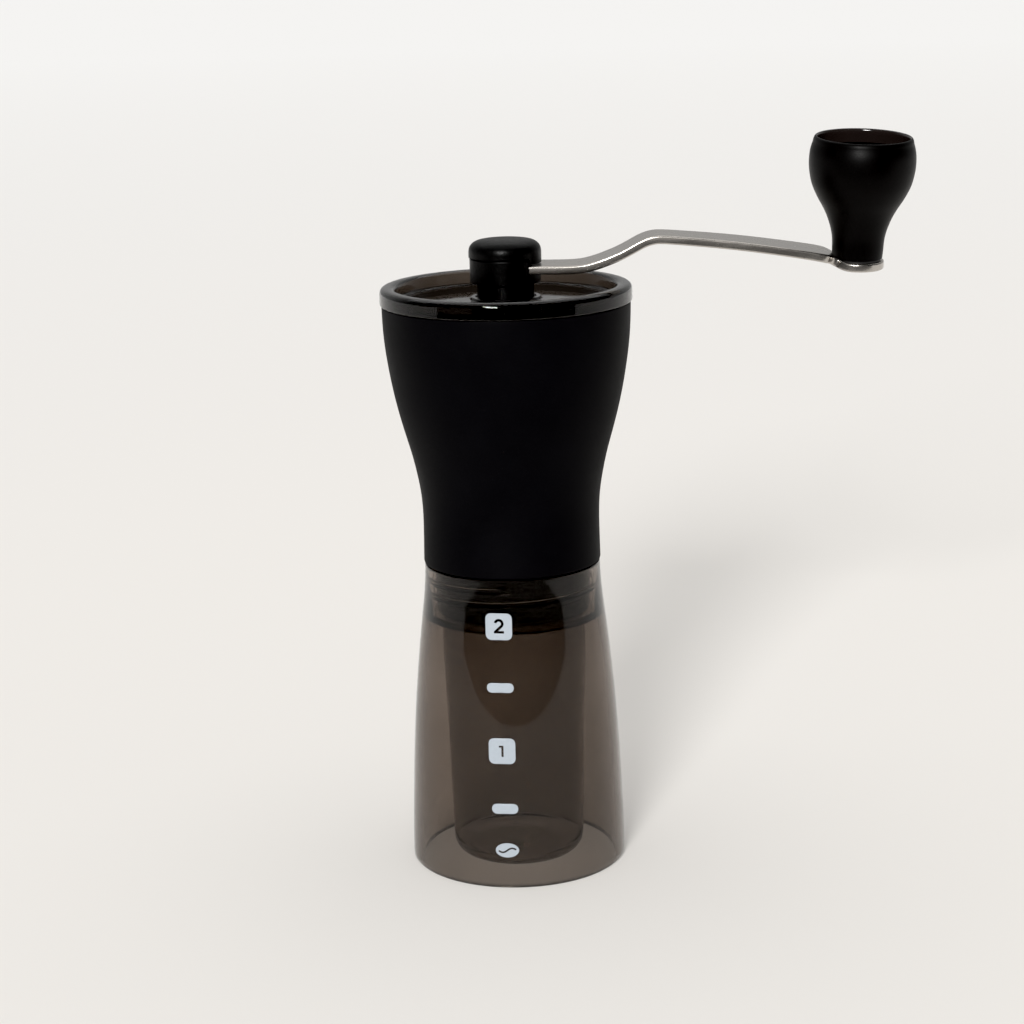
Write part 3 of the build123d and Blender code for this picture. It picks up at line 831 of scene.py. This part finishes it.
def paper():
    """Pale seamless paper with painted shade and painted light: a little deeper and warmer round the mill, paler far
    away.
    """
    n = Nodes("paper")
    xyz = n.add("ShaderNodeSeparateXYZ")
    n.link(n.coord, xyz.inputs[0])
    x, y = xyz.outputs["X"], n.math("SUBTRACT", xyz.outputs["Y"], 0.1)
    far = n.math("SQRT", n.math("ADD", n.math("MULTIPLY", x, x), n.math("MULTIPLY", y, y)), 0.0)
    cloud = n.noise(1.5, 3, 0.5)
    f = n.math("ADD", n.span(far, 0.0, 0.96, 0.25, 4.5), n.math("MULTIPLY", cloud, 0.04))
    # painted shade near the mill, painted light towards the far edge
    n.to(n.ramp(f, [(0.0, (0.80, 0.778, 0.748)), (0.12, (0.795, 0.778, 0.756)), (0.35, (0.80, 0.79, 0.775)), (1.0, (0.84, 0.838, 0.832))]), "Base Color")
    n.to(n.span(n.noise(900, 2, 0.5), 0.8, 0.95), "Roughness")
    n.bsdf.inputs["Specular IOR Level"].default_value = 0.0
    return n.mat


floor = stage_plane("floor", -14, 14, -14, 14, 0.0, paper())

# a dark flag in front, seen only in reflections
flag_mat = bpy.data.materials.new("flag")
flag_mat.use_nodes = True
flag_mat.node_tree.nodes["Principled BSDF"].inputs["Base Color"].default_value = (0.13, 0.13, 0.13, 1)
flag_mat.node_tree.nodes["Principled BSDF"].inputs["Roughness"].default_value = 1.0
flag_mat.node_tree.nodes["Principled BSDF"].inputs["Specular IOR Level"].default_value = 0.0
me = bpy.data.meshes.new("flag")
me.from_pydata([(-0.62, -0.315, 0.002), (0.62, -0.315, 0.002), (0.62, -0.315, 0.24), (-0.62, -0.315, 0.24)], [], [(0, 1, 2, 3)])
flag = bpy.data.objects.new("flag", me)
me.materials.append(flag_mat)
scene.collection.objects.link(flag)
flag.visible_camera = flag.visible_diffuse = flag.visible_transmission = flag.visible_shadow = False

# =============================================================== light
def sun(name, direction, energy, spread, color=(1, 1, 1)):
    d = bpy.data.lights.new(name, "SUN")
    d.energy = energy
    d.angle = math.radians(spread)
    d.color = color
    ob = bpy.data.objects.new(name, d)
    ob.rotation_euler = Vector(direction).to_track_quat("-Z", "Y").to_euler()
    scene.collection.objects.link(ob)
    return ob


overhead = sun("overhead", (0.0, -0.25, -1.0), 1.15, 80, (1.0, 0.995, 0.985))
# the smoked jar lets this light through to the floor inside its skirt
passing = bpy.data.collections.new("lets_light_through")
passing.objects.link(jar)
overhead.light_linking.blocker_collection = passing
passing.collection_objects[0].light_linking.link_state = "EXCLUDE"

sun("key", (0.2170, 0.8990, -0.3800), 2.75, 15, (1.0, 0.99, 0.975))

world = bpy.data.worlds.new("world")
scene.world = world
world.use_nodes = True
wt = world.node_tree
bg = wt.nodes["Background"]
path = wt.nodes.new("ShaderNodeLightPath")
direction = wt.nodes.new("ShaderNodeTexCoord")
split = wt.nodes.new("ShaderNodeSeparateXYZ")
wt.links.new(direction.outputs["Generated"], split.inputs[0])
rng = wt.nodes.new("ShaderNodeMapRange")
rng.interpolation_type = "SMOOTHSTEP"
rng.inputs["From Min"].default_value, rng.inputs["From Max"].default_value = -0.15, 0.75
rng.inputs["To Min"].default_value, rng.inputs["To Max"].default_value = 0.012, 0.44
wt.links.new(split.outputs["Y"], rng.inputs["Value"])
even = wt.nodes.new("ShaderNodeMix")
even.data_type = "FLOAT"
wt.links.new(path.outputs["Is Diffuse Ray"], even.inputs["Factor"])
wt.links.new(rng.outputs["Result"], even.inputs["A"])
even.inputs["B"].default_value = 0.40
mix = wt.nodes.new("ShaderNodeMix")
mix.data_type = "FLOAT"
wt.links.new(path.outputs["Is Camera Ray"], mix.inputs["Factor"])
wt.links.new(even.outputs["Result"], mix.inputs["A"])
mix.inputs["B"].default_value = 0.92
wt.links.new(mix.outputs["Result"], bg.inputs["Strength"])
bg.inputs["Color"].default_value = (1.0, 0.995, 0.985, 1)

scene.view_settings.view_transform = "Standard"
scene.view_settings.look = "None"
scene.view_settings.exposure = 0.0
scene.view_settings.use_curve_mapping = True
scene.view_settings.curve_mapping.black_level = (0.004, 0.004, 0.004)
scene.view_settings.curve_mapping.update()
scene.cycles.use_denoising = True
scene.cycles.max_bounces = 24
scene.cycles.transmission_bounces = 20
scene.cycles.transparent_max_bounces = 16
